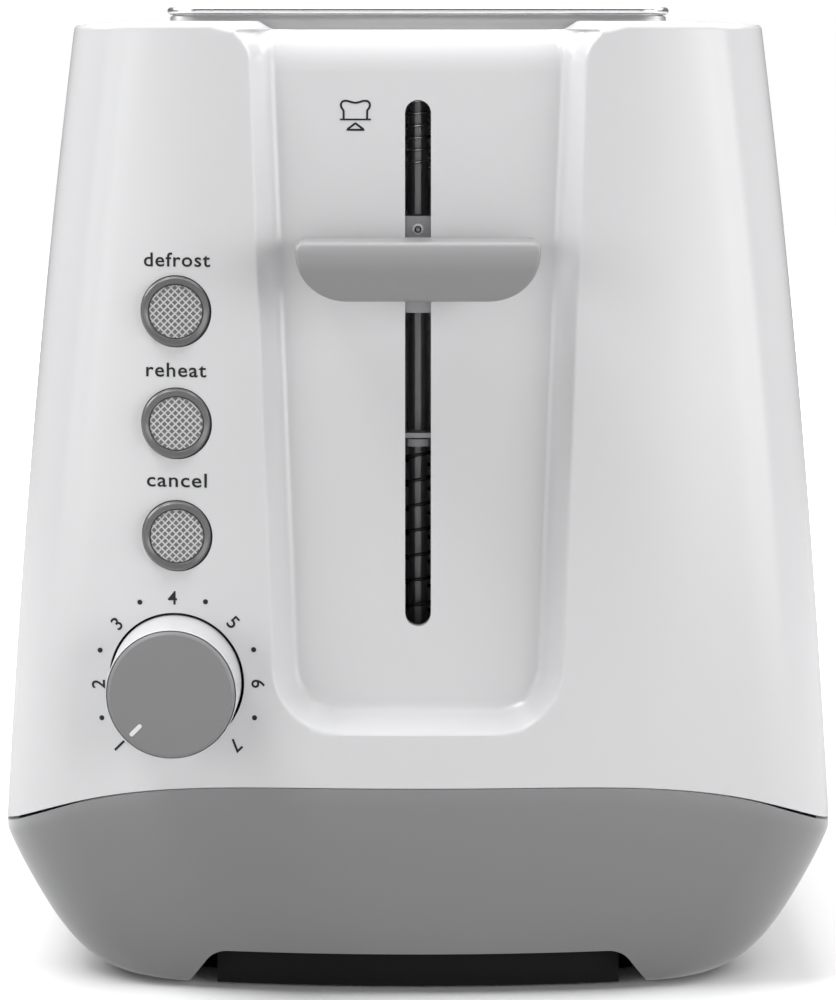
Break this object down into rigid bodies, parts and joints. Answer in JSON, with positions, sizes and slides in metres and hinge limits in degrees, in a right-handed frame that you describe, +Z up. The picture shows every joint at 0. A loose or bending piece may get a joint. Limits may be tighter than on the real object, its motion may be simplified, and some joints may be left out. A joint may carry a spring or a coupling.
{
  "type": "pop up toaster",
  "caption": "Pop-up toaster with long bread slots, a sprung lever carriage, browning dial, push buttons and a rear crumb tray.",
  "frame": {"origin": "on the table, under the middle of the overall box", "axes": "+Z up, -Y towards the lever end, +X to the right of someone facing the lever"},
  "size_m": [0.1718, 0.29, 0.2006],
  "materials": {
    "white_plastic": "gloss moulded plastic",
    "grey_plastic": "satin moulded plastic",
    "lever_plastic": "satin moulded plastic",
    "black_plastic": "fine texture",
    "stainless": "brushed along its length",
    "zinc_sheet": "zinc plated",
    "bright_wire": "bright drawn wire",
    "mica": "mica board",
    "circuit_board": "solder mask",
    "smoked_ring": "smoked metallic",
    "frosted_lens": "frosted, cross-ribbed",
    "copper": "enamelled copper winding",
    "rubber": "moulded rubber"
  },
  "bodies": {
    "root": {"outer_housing": "white_plastic", "base_shell": "grey_plastic", "bottom_plate": "black_plastic", "contact_block": "black_plastic", "dial_potentiometer": "black_plastic", "cord_gland": "black_plastic", "tact_switch_defrost": "black_plastic", "tact_switch_reheat": "black_plastic", "tact_switch_cancel": "black_plastic", "top_plate": "stainless", "chassis_front_plate": "zinc_sheet", "chassis_rear_plate": "zinc_sheet", "heat_shield_left": "zinc_sheet", "heat_shield_right": "zinc_sheet", "rod_bracket_upper": "zinc_sheet", "rod_bracket_lower": "zinc_sheet", "guide_rod": "zinc_sheet", "base_screw_front_left": "zinc_sheet", "base_screw_front_right": "zinc_sheet", "base_screw_rear_left": "zinc_sheet", "base_screw_rear_right": "zinc_sheet", "lift_spring": "bright_wire", "buffer_spring": "bright_wire", "heating_element_left": "mica", "heating_element_centre": "mica", "heating_element_right": "mica", "control_board": "circuit_board", "indicator_led_defrost": "frosted_lens", "indicator_led_reheat": "frosted_lens", "indicator_led_cancel": "frosted_lens", "electromagnet": "copper", "rubber_foot_front_left": "rubber", "rubber_foot_front_right": "rubber", "rubber_foot_rear_left": "rubber", "rubber_foot_rear_right": "rubber"},
    "spring_collar": {"spring_collar": "zinc_sheet"},
    "carriage": {"carriage_bracket": "zinc_sheet", "lever_rivet": "zinc_sheet", "latch_armature": "zinc_sheet", "lever_arm": "zinc_sheet", "lever_handle": "lever_plastic", "bread_rack_left": "zinc_sheet", "bread_rack_right": "zinc_sheet"},
    "knob": {"knob_body": "white_plastic", "knob_face": "grey_plastic", "knob_pointer": "bright_wire"},
    "button_defrost": {"button_ring_defrost": "smoked_ring", "button_lens_defrost": "frosted_lens"},
    "button_reheat": {"button_ring_reheat": "smoked_ring", "button_lens_reheat": "frosted_lens"},
    "button_cancel": {"button_ring_cancel": "smoked_ring", "button_lens_cancel": "frosted_lens"},
    "crumb_tray": {"crumb_tray": "zinc_sheet"},
    "guide_left_inner": {"bread_guide_left_inner": "bright_wire"},
    "guide_left_outer": {"bread_guide_left_outer": "bright_wire"},
    "guide_right_inner": {"bread_guide_right_inner": "bright_wire"},
    "guide_right_outer": {"bread_guide_right_outer": "bright_wire"}
  },
  "joints": [
    {"name": "carriage_slide", "type": "slide", "parent": "root", "child": "spring_collar", "axis": [0, 0, 1], "range_m": [-0.067, 0], "stiffness_N_per_m": 60, "springref_m": 0.05, "deforming": ["lift_spring"]},
    {"name": "high_lift", "type": "slide", "parent": "spring_collar", "child": "carriage", "axis": [0, 0, 1], "range_m": [0, 0.022], "deforming": ["buffer_spring"]},
    {"name": "knob_turn", "type": "hinge", "parent": "root", "child": "knob", "pos_m": [-0.04875, -0.1435, 0.0657], "axis": [0, 1, 0], "range_deg": [0, 270]},
    {"name": "button_defrost_press", "type": "slide", "parent": "root", "child": "button_defrost", "axis": [0, 1, 0], "range_m": [0, 0.002], "stiffness_N_per_m": 300, "springref_m": -0.003},
    {"name": "button_reheat_press", "type": "slide", "parent": "root", "child": "button_reheat", "axis": [0, 1, 0], "range_m": [0, 0.002], "stiffness_N_per_m": 300, "springref_m": -0.003},
    {"name": "button_cancel_press", "type": "slide", "parent": "root", "child": "button_cancel", "axis": [0, 1, 0], "range_m": [0, 0.002], "stiffness_N_per_m": 300, "springref_m": -0.003},
    {"name": "crumb_tray_slide", "type": "slide", "parent": "root", "child": "crumb_tray", "axis": [0, 1, 0], "range_m": [0, 0.2]},
    {"name": "guide_left_outer_swing", "type": "hinge", "parent": "root", "child": "guide_left_outer", "pos_m": [-0.0375, 0, 0.0488], "axis": [0, 1, 0], "range_deg": [0, 3]},
    {"name": "guide_left_inner_swing", "type": "hinge", "parent": "root", "child": "guide_left_inner", "pos_m": [-0.0105, 0, 0.0488], "axis": [0, -1, 0], "range_deg": [0, 3]},
    {"name": "guide_right_inner_swing", "type": "hinge", "parent": "root", "child": "guide_right_inner", "pos_m": [0.0105, 0, 0.0488], "axis": [0, 1, 0], "range_deg": [0, 3]},
    {"name": "guide_right_outer_swing", "type": "hinge", "parent": "root", "child": "guide_right_outer", "pos_m": [0.0375, 0, 0.0488], "axis": [0, -1, 0], "range_deg": [0, 3]}
  ],
  "couplings": [
    {"joint": "guide_left_outer_swing", "follows": "carriage_slide", "rad_per_m": -0.78},
    {"joint": "guide_left_inner_swing", "follows": "carriage_slide", "rad_per_m": -0.78},
    {"joint": "guide_right_inner_swing", "follows": "carriage_slide", "rad_per_m": -0.78},
    {"joint": "guide_right_outer_swing", "follows": "carriage_slide", "rad_per_m": -0.78}
  ]
}
